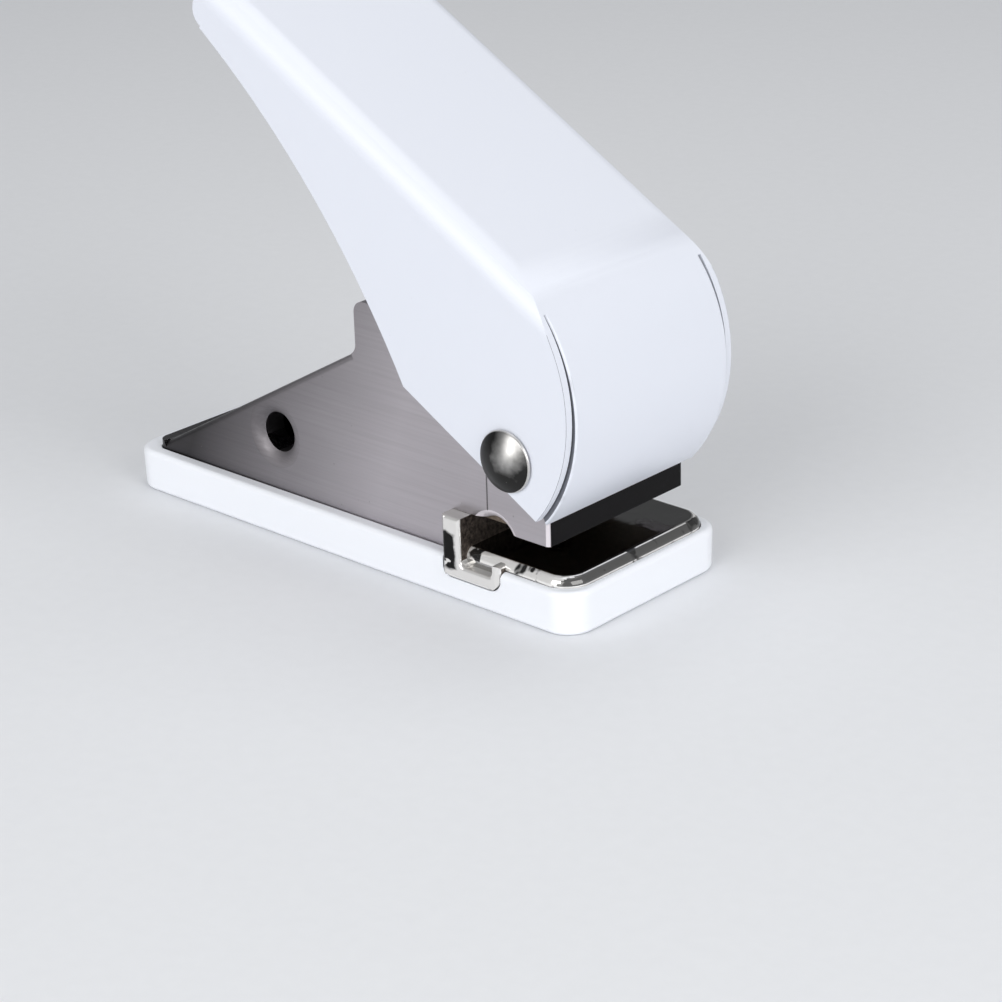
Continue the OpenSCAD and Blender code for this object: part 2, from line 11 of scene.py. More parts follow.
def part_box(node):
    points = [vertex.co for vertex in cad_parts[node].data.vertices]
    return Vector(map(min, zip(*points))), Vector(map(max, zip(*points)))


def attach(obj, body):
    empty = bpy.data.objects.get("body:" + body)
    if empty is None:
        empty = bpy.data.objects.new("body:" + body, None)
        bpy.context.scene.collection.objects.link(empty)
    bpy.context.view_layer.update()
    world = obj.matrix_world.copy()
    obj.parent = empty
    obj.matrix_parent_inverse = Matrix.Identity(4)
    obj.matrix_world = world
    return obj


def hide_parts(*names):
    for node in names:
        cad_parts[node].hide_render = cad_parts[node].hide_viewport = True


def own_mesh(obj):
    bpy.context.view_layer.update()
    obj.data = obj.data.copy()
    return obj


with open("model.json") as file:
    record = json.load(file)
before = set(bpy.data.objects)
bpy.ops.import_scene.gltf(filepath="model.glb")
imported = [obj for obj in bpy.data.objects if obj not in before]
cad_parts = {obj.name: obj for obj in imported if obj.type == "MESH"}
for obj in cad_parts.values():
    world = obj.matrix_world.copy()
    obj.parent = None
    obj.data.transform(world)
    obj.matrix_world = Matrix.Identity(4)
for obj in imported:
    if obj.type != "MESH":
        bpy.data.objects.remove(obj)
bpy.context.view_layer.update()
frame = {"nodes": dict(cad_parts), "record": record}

bl_info = {
    "name": "Flight Punch",
    "version": (1, 0, 0),
    "blender": (4, 5, 0),
    "location": "View3D > Sidebar > Flight Punch",
    "description": "Dresses the punch around its packed solids",
    "category": "Add Mesh",
}

MM = 0.001
WELD = 0.002 * MM
FLAT = math.radians(0.6)
CREASE = math.radians(32)
SHARP = math.radians(38)

# How near an edge's middle lies to the face it is picked by, in millimetres
ON_FACE = 0.02
# How much painted shade the seam groove gets, standing in for the shade inside it
GROOVE_PAINTED_SHADE = 0.8


# Edge forms

def welded(node):
    """The node's own faces as one closed bmesh, flat facets merged."""
    bm = bmesh.new()
    bm.from_mesh(frame["nodes"][node].data)
    bmesh.ops.remove_doubles(bm, verts=bm.verts, dist=WELD)
    bmesh.ops.dissolve_limit(bm, angle_limit=FLAT, verts=bm.verts, edges=bm.edges)
    # The middle layer marks faces for painted shade and painted reflections; rim also marks where metal
    # gets a painted highlight
    for layer in ("rim", "painted_shade", "bare"):
        bm.faces.layers.float.new(layer)
    return bm


def mark(bm, layer, where, value=1.0, faces=None):
    """Sets a face layer where a face's centre, in millimetres, and its normal pass where()."""
    marked = bm.faces.layers.float[layer]
    for face in bm.faces if faces is None else faces:
        if where(face.calc_center_median() / MM, face.normal):
            face[marked] = value


def middle(edge):
    """Middle of an edge, in millimetres."""
    return (edge.verts[0].co + edge.verts[1].co) / (2 * MM)


def round_edges(bm, width, segments=3, where=None, clamp=True):
    """Rounds the sharp outer edges whose middle passes where(), and marks the new faces as rim."""
    picked = [
        edge for edge in bm.edges
        if edge.is_manifold and edge.is_convex and edge.calc_face_angle(0) > CREASE
        and (where is None or where(middle(edge)))
    ]
    made = bmesh.ops.bevel(
        bm, geom=picked, offset=width, offset_type="OFFSET", segments=segments,
        profile=0.5, affect="EDGES", clamp_overlap=clamp, material=-1,
    )
    rim = bm.faces.layers.float["rim"]
    for face in made["faces"]:
        face[rim] = 1.0
    return made["faces"]


def corner_normals(bm):
    """A normal for each face corner, from the faces that blend there, weighed by area."""
    bm.normal_update()
    bm.faces.index_update()
    areas = [face.calc_area() for face in bm.faces]
    normals = []
    for face in bm.faces:
        for corner in face.loops:
            normal = face.normal * areas[face.index]
            for other in corner.vert.link_faces:
                if other is not face and face.normal.dot(other.normal) > math.cos(SHARP):
                    normal = normal + other.normal * areas[other.index]
            normals.append(normal.normalized())
    return normals


def show(bm, name, body, finish, node):
    """Turns a bmesh into a piece that rides on its body and stands for its node."""
    bmesh.ops.dissolve_degenerate(bm, dist=WELD, edges=bm.edges)
    for face in bm.faces:
        face.smooth = True
    normals = corner_normals(bm)
    mesh = bpy.data.meshes.new(name)
    bm.to_mesh(mesh)
    bm.free()
    mesh.set_sharp_from_angle(angle=SHARP)
    mesh.normals_split_custom_set(normals)
    mesh.materials.append(finish)
    piece = bpy.data.objects.new(name, mesh)
    bpy.context.scene.collection.objects.link(piece)
    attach(piece, body)
    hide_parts(node)
    return piece


def plain_piece(node, name, body, finish, width):
    """Shows a node as it is, with its edges rounded."""
    bm = welded(node)
    round_edges(bm, width)
    show(bm, name, body, finish, node)


def groove_seam(bm, width, seam, side):
    """Rounds the outer upright edges at the seam and paints shade into the groove that they make."""
    groove = round_edges(
        bm, width, where=lambda at: abs(at.x - seam) < ON_FACE and abs(at.y) > side - ON_FACE, clamp=False)
    mark(bm, "painted_shade", lambda at, facing: True, GROOVE_PAINTED_SHADE, groove)


# Finishes

class Finish:
    """One procedural material on Object coordinates, built up node by node."""

    def __init__(self, name, metallic=0.0, **sockets):
        self.material = bpy.data.materials.new(name)
        self.material.use_nodes = True
        self.tree = self.material.node_tree
        self.shader = self.tree.nodes["Principled BSDF"]
        self.shader.inputs["Metallic"].default_value = metallic
        for socket, value in sockets.items():
            self.shader.inputs[socket.replace("_", " ")].default_value = value
        self.place = self.add("ShaderNodeTexCoord").outputs["Object"]

    def add(self, kind, **settings):
        """A new node of that kind."""
        node = self.tree.nodes.new(kind)
        for key, value in settings.items():
            setattr(node, key, value)
        return node

    def feed(self, socket, value):
        """Links a socket to another one, or sets it."""
        if isinstance(value, bpy.types.NodeSocket):
            self.tree.links.new(value, socket)
        else:
            socket.default_value = value

    def stretched(self, scale, turn=(0, 0, 0)):
        """Object coordinates scaled along each axis, in cells per millimetre."""
        node = self.add("ShaderNodeMapping")
        node.inputs["Rotation"].default_value = turn
        node.inputs["Scale"].default_value = [value / MM for value in scale]
        self.feed(node.inputs["Vector"], self.place)
        return node.outputs["Vector"]

    def noise(self, cells, detail=2.0, rough=0.5, distortion=0.0):
        """Noise with that many cells per millimetre, one number or one for each axis."""
        cells = cells if isinstance(cells, tuple) else (cells, cells, cells)
        node = self.add("ShaderNodeTexNoise")
        node.inputs["Scale"].default_value = 1.0
        node.inputs["Detail"].default_value = detail
        node.inputs["Roughness"].default_value = rough
        node.inputs["Distortion"].default_value = distortion
        self.feed(node.inputs["Vector"], self.stretched(cells))
        return node.outputs["Fac"]

    def spots(self, cells, size):
        """Sparse spots: 1 at the middle of a spot and 0 outside it."""
        cells = cells if isinstance(cells, tuple) else (cells, cells, cells)
        node = self.add("ShaderNodeTexVoronoi")
        node.inputs["Scale"].default_value = 1.0
        self.feed(node.inputs["Vector"], self.stretched(cells))
        return self.span(node.outputs["Distance"], size, 0.4 * size, 0.0, 1.0)

    def span(self, value, low, high, to_low=0.0, to_high=1.0):
        """Maps low to high onto to_low to to_high, and stops at both."""
        node = self.add("ShaderNodeMapRange")
        self.feed(node.inputs["Value"], value)
        limits = (low, high, to_low, to_high)
        for key, number in zip(("From Min", "From Max", "To Min", "To Max"), limits):
            node.inputs[key].default_value = number
        return node.outputs["Result"]

    def math(self, operation, one, two):
        """One sum, product or the like of two values."""
        node = self.add("ShaderNodeMath", operation=operation)
        self.feed(node.inputs[0], one)
        self.feed(node.inputs[1], two)
        return node.outputs["Value"]

    def blend(self, factor, one, two):
        """Mixes two colours."""
        node = self.add("ShaderNodeMix", data_type="RGBA")
        self.feed(node.inputs["Factor"], factor)
        for socket, colour in ((node.inputs[6], one), (node.inputs[7], two)):
            self.feed(socket, colour if isinstance(colour, bpy.types.NodeSocket) else (*colour, 1.0))
        return node.outputs[2]

    def along(self, axis):
        """One Object coordinate, in metres."""
        node = self.add("ShaderNodeSeparateXYZ")
        self.feed(node.inputs["Vector"], self.place)
        return node.outputs[axis]

    def marked(self, layer):
        """A face layer: rim for rounded edges, lips and ears, where metal gets a painted highlight;
        another for faces given painted shade and painted reflections; bare for bare or dull metal.
        """
        return self.add("ShaderNodeAttribute", attribute_name=layer).outputs["Fac"]

    def bump(self, *layers):
        """Stacks bump layers, each a height and its depth in millimetres."""
        normal = None
        for height, depth in layers:
            node = self.add("ShaderNodeBump")
            node.inputs["Distance"].default_value = depth * MM
            self.feed(node.inputs["Height"], height)
            if normal:
                self.feed(node.inputs["Normal"], normal)
            normal = node.outputs["Normal"]
        self.feed(self.shader.inputs["Normal"], normal)

    def done(self, colour, roughness):
        """Sets the colour and roughness, and gives the material."""
        self.feed(self.shader.inputs["Base Color"], colour)
        self.feed(self.shader.inputs["Roughness"], roughness)
        return self.material


def shade(colour, factor):
    """A colour made lighter or darker."""
    return tuple(channel * factor for channel in colour)


def white_enamel(colour):
    """Stove enamel: a few specks and short scratches, wear on the rims, painted shade along the slits and
    the walls' front edges.
    """
    f = Finish("white_enamel", Coat_Weight=0.15, Coat_Roughness=0.3, Coat_IOR=1.5)
    specks = f.spots(0.2, 0.03)
    scratches = f.spots((0.1, 0.5, 0.7), 0.03)
    wear = f.math("MULTIPLY", f.marked("rim"), f.span(f.noise(0.5, 2.0), 0.52, 0.72))
    tone = f.blend(f.math("MULTIPLY", specks, 0.6), colour, (0.2, 0.2, 0.22))
    tone = f.blend(f.math("MULTIPLY", scratches, 0.12), tone, (0.35, 0.36, 0.4))
    tone = f.blend(f.math("MULTIPLY", wear, 0.35), tone, (0.42, 0.43, 0.47))
    # Painted shade: the slits and the walls' front edges are painted near black where shade falls in the
    # gaps
    tone = f.blend(f.math("MULTIPLY", f.marked("painted_shade"), 0.9), tone, (0.05, 0.055, 0.07))
    f.bump((scratches, -0.004))
    return f.done(tone, f.span(f.noise(0.03, 1.0), 0.3, 0.7, 0.36, 0.42))


def moulded_white(colour):
    """Moulded plastic with a few scuffs."""
    f = Finish(
        "moulded_white", Subsurface_Weight=0.08, Subsurface_Radius=(1.0, 1.0, 1.1),
        Subsurface_Scale=1.2 * MM)
    scuffs = f.spots((0.1, 0.5, 0.6), 0.03)
    tone = f.blend(f.math("MULTIPLY", scuffs, 0.08), colour, (0.45, 0.45, 0.5))
    f.bump((scuffs, -0.003))
    return f.done(tone, f.span(f.noise(0.03, 1.0), 0.3, 0.7, 0.29, 0.35))


def satin_nickel(colour):
    """Nickel on a brushed casting: streaks, pits, painted shade toward the back, painted highlights on the
    lips and rims, painted shade in the grooves and on the front.
    """
    f = Finish("satin_nickel", metallic=1.0)
    streaks = f.noise((0.05, 2.4, 2.4), 4.0, 0.6)
    fine = f.noise((0.25, 9.0, 9.0), 2.0)
    haze = f.noise((0.04, 0.12, 0.12), 3.0)
    pits = f.spots(0.4, 0.06)
    rim, painted_shade = f.marked("rim"), f.marked("painted_shade")
    tone = f.blend(f.span(haze, 0.3, 0.7), shade(colour, 0.9), colour)
    tone = f.blend(f.span(streaks, 0.35, 0.7, 0.0, 0.35), tone, shade(colour, 0.75))
    # Painted shade: the casting is painted darker toward the back and bottom, standing in for the unlit
    # surroundings it reflects there
    lean = f.math("SUBTRACT", f.along("X"), f.math("MULTIPLY", f.along("Z"), 0.4))
    tone = f.blend(f.span(lean, 2 * MM, -31 * MM, 0.0, 0.94), tone, shade(colour, 0.06))
    tone = f.blend(f.math("MULTIPLY", pits, 0.5), tone, shade(colour, 0.4))
    # Painted highlight: rims and lips are painted lighter and made less metallic, so they look lit
    tone = f.blend(f.math("MULTIPLY", rim, 0.8), tone, shade(colour, 1.5))
    # Painted shade: grooves, the ramp top and the jaw front are painted near black, standing in for shade
    # and reflected darkness
    tone = f.blend(painted_shade, tone, shade(colour, 0.02))
    f.feed(f.shader.inputs["Metallic"], f.span(rim, 0.0, 1.0, 1.0, 0.4))
    f.bump((streaks, 0.006), (fine, 0.0015), (pits, -0.02))
    rough = f.span(streaks, 0.3, 0.7, 0.28, 0.44)
    rough = f.math("ADD", rough, f.math("MULTIPLY", f.marked("bare"), 0.2))
    return f.done(tone, f.math("ADD", rough, f.math("MULTIPLY", painted_shade, -0.2)))


def mirror_nickel(colour, ear_low, ear_high, tray_rim):
    """Bright nickel: slow waves, painted highlights on lips and ears, painted reflections blotted on the
    lips above the tray and on the ears, painted shade on the flats, bare casting.
    """
    f = Finish("mirror_nickel", metallic=1.0)
    waves = f.noise(0.3, 2.0, 0.5, 0.6)
    pits = f.spots(0.8, 0.06)
    painted_reflection_blots = f.span(f.noise(0.45, 2.0, 0.5, 0.4), 0.57, 0.63)
    grain = f.noise(1.6, 5.0, 0.65)
    rim, bare = f.marked("rim"), f.marked("bare")
    tone = f.blend(f.span(f.noise(0.1, 3.0), 0.3, 0.7), shade(colour, 0.85), colour)
    # Painted highlight: rims, lips and ears are painted lighter
    tone = f.blend(rim, tone, shade(colour, 1.8))
    # Painted reflection: near-black blots on the lips above the tray, standing in for surroundings
    # mirrored in the plating
    above_tray = f.span(f.along("Z"), tray_rim - 0.5 * MM, tray_rim)
    exposed = f.math("MULTIPLY", f.span(rim, 0.85, 0.95), above_tray)
    tone = f.blend(f.math("MULTIPLY", exposed, painted_reflection_blots), tone, shade(colour, 0.05))
    # Painted shade and painted reflection: the flat top, the ears' back and under faces and the upper
    # front rim are painted near black
    tone = f.blend(f.math("MULTIPLY", f.marked("painted_shade"), 0.9), tone, shade(colour, 0.1))
    # Painted reflection: a ragged near-black band on each ear's outer face near the back, standing in for
    # unlit surroundings mirrored in the chrome
    wander = f.math("MULTIPLY", f.noise(0.45, 3.0), 2 * MM)
    reach, level = f.math("ADD", f.along("X"), wander), f.math("ADD", f.along("Z"), wander)
    aside = f.math("ABSOLUTE", f.along("Y"), 0.0)
    stain_and_painted_reflection = f.span(painted_reflection_blots, 0.6, 0.2)
    for place, clear, full in (
        (reach, ear_low.x + 2.8 * MM, ear_low.x + 2.4 * MM),
        (level, ear_high.z - 0.9 * MM, ear_high.z - 1.3 * MM),
        (level, ear_low.z + 1.8 * MM, ear_low.z + 2.2 * MM),
        (aside, ear_high.y - 1.4 * MM, ear_high.y - 1.2 * MM),
    ):
        stain_and_painted_reflection = f.math("MULTIPLY", stain_and_painted_reflection, f.span(place, clear, full))
    tone = f.blend(stain_and_painted_reflection, tone, shade(colour, 0.04))
    tone = f.blend(f.math("MULTIPLY", pits, 0.5), tone, shade(colour, 0.4))
    tone = f.blend(bare, tone, f.blend(f.span(grain, 0.35, 0.65), (0.05, 0.04, 0.035), (0.2, 0.165, 0.14)))
    # Painted highlight: less metallic on the rims so they look lit; full metal where the ear reflection is
    # painted
    plating = f.span(rim, 0.0, 1.0, 1.0, 0.5)
    f.feed(f.shader.inputs["Metallic"], f.math("MAXIMUM", plating, stain_and_painted_reflection))
    f.bump((waves, 0.05), (f.math("MULTIPLY", grain, bare), 0.12), (pits, -0.02))
    rough = f.span(f.noise(0.5, 4.0), 0.35, 0.75, 0.05, 0.16)
    return f.done(tone, f.math("ADD", rough, f.math("MULTIPLY", bare, 0.45)))


def rivet_nickel(colour, centre, radius):
    """Nickel on the rivet heads: a painted highlight above the middle fading to painted shade round it,
    pits and a painted highlight on the rim.
    """
    f = Finish("rivet_nickel", metallic=1.0)
    pits = f.spots(0.7, 0.06)
    wide, tall = 1.5 * MM / radius, 0.75 * MM / radius
    # Painted highlight: bright near a point above the middle, near black away from it, standing in for the
    # lit and unlit surroundings the dome mirrors
    painted_highlight_distance = f.add("ShaderNodeVectorMath", operation="DISTANCE")
    f.feed(painted_highlight_distance.inputs[0], f.stretched((wide, 0, tall)))
    painted_highlight_distance.inputs[1].default_value = (
        wide * (centre.x + 0.35 * radius) / MM, 0, tall * (centre.z + 0.8 * radius) / MM)
    ragged = f.math("ADD", painted_highlight_distance.outputs["Value"], f.span(f.noise(0.5, 3.0), 0.3, 0.7, -0.2, 0.2))
    tone = f.blend(f.span(ragged, 1.0, 0.1), shade(colour, 0.07), shade(colour, 1.2))
    # Painted highlight on the rim
    tone = f.blend(f.math("MULTIPLY", f.marked("rim"), 0.8), tone, shade(colour, 1.5))
    tone = f.blend(f.math("MULTIPLY", pits, 0.7), tone, shade(colour, 0.9))
    f.bump((f.noise(0.4, 1.0), 0.01), (pits, -0.03))
    return f.done(tone, f.span(f.noise(0.5, 2.0), 0.3, 0.7, 0.3, 0.4))


def rough_cast(colour):
    """Bare casting: grainy, with darker hollows."""
    f = Finish("rough_cast", metallic=0.55)
    grain = f.noise(1.6, 5.0, 0.65)
    tone = f.blend(f.span(grain, 0.35, 0.65), shade(colour, 0.55), colour)
    f.bump((f.noise(0.5, 3.0), 0.08), (grain, 0.05))
    return f.done(tone, f.span(grain, 0.3, 0.7, 0.5, 0.75))


def turned_steel(name, colour, low, high):
    """Plain turned or drawn steel: tool lines round the upright axis, a little discolouring and a painted
    highlight on the rounded edges.
    """
    f = Finish(name, metallic=1.0)
    lines = f.noise((0.4, 0.4, 7.0), 3.0)
    stain_and_painted_reflection = f.noise(0.35, 3.0)
    tone = f.blend(f.span(stain_and_painted_reflection, 0.35, 0.7), colour, shade(colour, 0.7))
    # Painted highlight: rounded edges painted lighter
    tone = f.blend(f.math("MULTIPLY", f.marked("rim"), 0.5), tone, shade(colour, 1.25))
    f.bump((lines, 0.006))
    return f.done(tone, f.span(lines, 0.3, 0.7, low, high))


def floor_card(colour):
    """Matt pale card with a faint tooth."""
    f = Finish("floor_card")
    tooth = f.noise(0.5, 3.0)
    f.bump((tooth, 0.02))
    return f.done(f.blend(f.span(tooth, 0.3, 0.7), colour, shade(colour, 0.985)), 0.75)


# Settings

class PunchSizes(bpy.types.PropertyGroup):
    """Sizes of the edges and of the spring that the scene adds."""
    lever_edge: FloatProperty(
        name="Lever edge", description="Rounding of the lever's outer cut edges",
        default=0.3 * MM, unit="LENGTH")
    slit_edge: FloatProperty(
        name="Slit edge", description="Rounding along the slits of the nose",
        default=0.38 * MM, unit="LENGTH")
    body_edge: FloatProperty(
        name="Body edge", description="Rounding of the casting's edges",
        default=0.3 * MM, unit="LENGTH")
    seam_edge: FloatProperty(
        name="Seam edge", description="Rounding along the seam between the body and the upper jaw",
        default=0.12 * MM, unit="LENGTH")
    cover_edge: FloatProperty(
        name="Cover edge", description="Rounding of the upper jaw's edges",
        default=0.18 * MM, unit="LENGTH")
    ear_edge: FloatProperty(
        name="Ear edge", description="Rounding of the ears of the back stop",
        default=0.4 * MM, unit="LENGTH")
    rivet_edge: FloatProperty(
        name="Rivet edge", description="Rounding of the rivet heads' rims",
        default=0.3 * MM, unit="LENGTH")
    small_edge: FloatProperty(
        name="Small edge", description="Rounding of pins, rings and screws",
        default=0.12 * MM, unit="LENGTH")
    wire: FloatProperty(
        name="Wire", description="Diameter of the spring wire", default=0.8 * MM, unit="LENGTH")
    turns: IntProperty(
        name="Turns", description="Open turns of the return spring", default=6, min=3, max=9)


class PunchColours(bpy.types.PropertyGroup):
    """Colours of the finishes."""
    enamel: FloatVectorProperty(
        name="Enamel", description="White enamel of the lever",
        default=(0.76, 0.785, 0.855), subtype="COLOR", min=0, max=1)
    plastic: FloatVectorProperty(
        name="Plastic", description="White plastic of the tray",
        default=(0.905, 0.925, 0.97), subtype="COLOR", min=0, max=1)
    nickel: FloatVectorProperty(
        name="Nickel", description="Satin nickel of the body and upper jaw",
        default=(0.57, 0.535, 0.56), subtype="COLOR", min=0, max=1)
    bright: FloatVectorProperty(
        name="Bright nickel", description="Mirror nickel of the lower jaw and rivet",
        default=(0.52, 0.51, 0.495), subtype="COLOR", min=0, max=1)
    cast: FloatVectorProperty(
        name="Casting", description="Bare casting of the punch guide",
        default=(0.3, 0.24, 0.19), subtype="COLOR", min=0, max=1)
    steel: FloatVectorProperty(
        name="Steel", description="Plain steel of the pins and rings",
        default=(0.5, 0.5, 0.5), subtype="COLOR", min=0, max=1)
    black: FloatVectorProperty(
        name="Blackened steel", description="Blackened steel of the screws",
        default=(0.06, 0.06, 0.065), subtype="COLOR", min=0, max=1)
    floor: FloatVectorProperty(
        name="Floor", description="Pale card that the punch stands on",
        default=(0.8, 0.81, 0.83), subtype="COLOR", min=0, max=1)


class PunchStage(bpy.types.PropertyGroup):
    """Camera and lights."""
    azimuth: FloatProperty(
        name="Azimuth", description="Camera's turn about the upright axis",
        default=math.radians(42.954), unit="ROTATION")
    elevation: FloatProperty(
        name="Elevation", description="Camera's height angle",
        default=math.radians(22.864), unit="ROTATION")
    roll: FloatProperty(
        name="Roll", description="Camera's lean", default=math.radians(-1.674), unit="ROTATION")
    distance: FloatProperty(
        name="Distance", description="Camera's distance from the origin plane",
        default=351.316 * MM, unit="LENGTH")
    aside: FloatProperty(
        name="Aside", description="Camera's offset to its right", default=10.407 * MM, unit="LENGTH")
    above: FloatProperty(
        name="Above", description="Camera's offset upwards", default=2.703 * MM, unit="LENGTH")
    lens: FloatProperty(
        name="Lens", description="Focal length on a 36 mm sensor, in millimetres", default=100.6)
    key: FloatProperty(
        name="Key", description="Power of the large front light", default=3.4, unit="POWER")
    fill: FloatProperty(
        name="Fill", description="Power of the light at the slot's side", default=2.8, unit="POWER")
    top: FloatProperty(
        name="Top", description="Power of the overhead light", default=1.5, unit="POWER")
    room: FloatProperty(
        name="Room", description="Strength of the even room light", default=0.3)


# Pieces

def arch_lip(at, facing):
    """Tells the rounded mouth of the arch in the jaw sides from the faces round it."""
    crown, behind = 13, 19
    return at.z < crown and at.x > behind and 0.05 < abs(facing.y) < 0.98


def hole_mouth(at, facing):
    """Tells the rounded mouths of the cross hole from the faces round them."""
    hole = next(mount for mount in frame["record"]["mounts"] if mount["name"] == "cross_hole")
    x, _, z = (place / MM for place in hole["pos_m"])
    mouth = 2.2
    near = math.hypot(at.x - x, at.z - z) < hole["dims"]["r_mm"] + mouth
    return near and 0.02 < abs(facing.y) < 0.995


class PUNCH_OT_chip_tray(bpy.types.Operator):
    """White moulded tray that the punch stands in"""
    bl_idname = "punch.chip_tray"
    bl_label = "Chip Tray"

    def execute(self, context):
        sizes, colours = context.scene.punch_sizes, context.scene.punch_colours
        white = moulded_white(colours.plastic)
        plain_piece("base_tray", "chip_tray", "tray", white, sizes.small_edge)
        return {"FINISHED"}


class PUNCH_OT_cast_body(bpy.types.Operator):
    """Hollow nickel-plated casting with the ramp and the cross hole"""
    bl_idname = "punch.cast_body"
    bl_label = "Cast Body"

    def execute(self, context):
        sizes, colours = context.scene.punch_sizes, context.scene.punch_colours
        bm = welded("body_frame")
        seam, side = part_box("body_frame")[1].xy / MM
        ramp_painted_shade = 0.4
        round_edges(bm, sizes.body_edge, where=lambda at: at.x < seam - 0.3)
        # Painted highlight on the arch's rounded mouth
        mark(bm, "rim", arch_lip)
        mark(bm, "bare", hole_mouth)
        # Painted shade on the ramp's top faces, standing in for the unlit surroundings they reflect
        mark(
            bm, "painted_shade",
            lambda at, facing: 0.3 < facing.z < 0.97 and abs(facing.y) < 0.05 and at.x < 0, ramp_painted_shade)
        groove_seam(bm, sizes.seam_edge, seam, side)
        show(bm, "cast_body", "body", satin_nickel(colours.nickel), "body_frame")
        return {"FINISHED"}


class PUNCH_OT_jaw_cover(bpy.types.Operator):
    """Plated shell of the upper jaw in front of the seam"""
    bl_idname = "punch.jaw_cover"
    bl_label = "Jaw Cover"

    def execute(self, context):
        sizes, colours = context.scene.punch_sizes, context.scene.punch_colours
        bm = welded("front_cover")
        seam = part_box("front_cover")[0].x / MM
        front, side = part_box("front_cover")[1].xy / MM
        round_edges(bm, sizes.cover_edge, where=lambda at: at.x > seam + 0.3)
        # Painted highlight on the arch's rounded mouth
        mark(bm, "rim", arch_lip)
        groove_seam(bm, sizes.seam_edge, seam, side)
        # Painted highlight: the near corner's rounded faces are painted lighter
        mark(
            bm, "rim",
            lambda at, facing: 0.2 < facing.x < 0.85 and abs(facing.z) < 0.1 and at.x > front - 1)
        # Painted shade: the front face is painted near black, standing in for the unlit surroundings it
        # mirrors
        mark(bm, "painted_shade", lambda at, facing: facing.x > 0.9 and at.x > front - 0.1)
        show(bm, "jaw_cover", "body", bpy.data.materials["satin_nickel"], "front_cover")
        return {"FINISHED"}


class PUNCH_OT_guide_block(bpy.types.Operator):
    """Cast block that guides the punch, with its cross pin"""
    bl_idname = "punch.guide_block"
    bl_label = "Guide Block"

    def execute(self, context):
        sizes, colours = context.scene.punch_sizes, context.scene.punch_colours
        cast = rough_cast(colours.cast)
        plain_piece("punch_guide", "guide_block", "body", cast, sizes.small_edge)
        steel = turned_steel("turned_steel", colours.steel, 0.25, 0.42)
        plain_piece("guide_pin", "cross_pin", "body", steel, sizes.small_edge)
        return {"FINISHED"}


class PUNCH_OT_lower_jaw(bpy.types.Operator):
    """Mirror-bright lower jaw with its die bush and screws"""
    bl_idname = "punch.lower_jaw"
    bl_label = "Lower Jaw"

    def execute(self, context):
        sizes, colours = context.scene.punch_sizes, context.scene.punch_colours
        bm = welded("die_plate")
        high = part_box("die_plate")[1] / MM
        outer = [vert.co for vert in bm.verts if abs(vert.co.y) > (high.y - 0.01) * MM]
        ear_low = Vector([min(at[axis] for at in outer) for axis in range(3)])
        ear_high = Vector([max(at[axis] for at in outer) for axis in range(3)])
        ear_front, ear_face = ear_high.x / MM - 0.6, high.y - 0.01
        ear_root, plate_side = high.y - 1.2, high.y - 1.4
        stop_top, nose, slot_back = high.z - 1, high.x - 2, high.x - 8
        round_edges(
            bm, sizes.ear_edge, 5, where=lambda at: abs(at.y) > ear_face and at.x < ear_front, clamp=False)
        round_edges(bm, sizes.small_edge, where=lambda at: abs(at.y) < plate_side)
        # Painted highlight on the rounded top edges, the stop's top and the ears
        mark(bm, "rim", lambda at, facing: 0.05 < facing.z < 0.95 and abs(at.y) < ear_root)
        mark(bm, "rim", lambda at, facing: at.z > stop_top or abs(at.y) > ear_root, 0.8)
        # Painted shade on the ears' back and under faces, the flat top and the upper part of the front
        # rim; painted highlight on its lower part
        mark(bm, "painted_shade", lambda at, facing: abs(at.y) > ear_root and (facing.x < -0.4 or facing.z < -0.6))
        mark(bm, "painted_shade", lambda at, facing: facing.z > 0.98 and abs(at.y) < plate_side and at.z < stop_top)
        mark(bm, "painted_shade", lambda at, facing: facing.x > 0.4 and facing.z > 0.15 and at.x > nose)
        mark(bm, "rim", lambda at, facing: facing.x > 0.3 and facing.z <= 0.15 and at.x > nose)
        mark(bm, "bare", lambda at, facing: facing.x > 0.98 and at.x < slot_back)
        nickel = mirror_nickel(colours.bright, ear_low, ear_high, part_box("base_tray")[1].z)
        show(bm, "lower_jaw", "body", nickel, "die_plate")
        steel = bpy.data.materials["turned_steel"]
        plain_piece("die_insert", "die_bush", "body", steel, sizes.small_edge)
        black = turned_steel("blackened_steel", colours.black, 0.35, 0.5)
        plain_piece("die_screws", "jaw_screws", "body", black, sizes.small_edge)
        return {"FINISHED"}


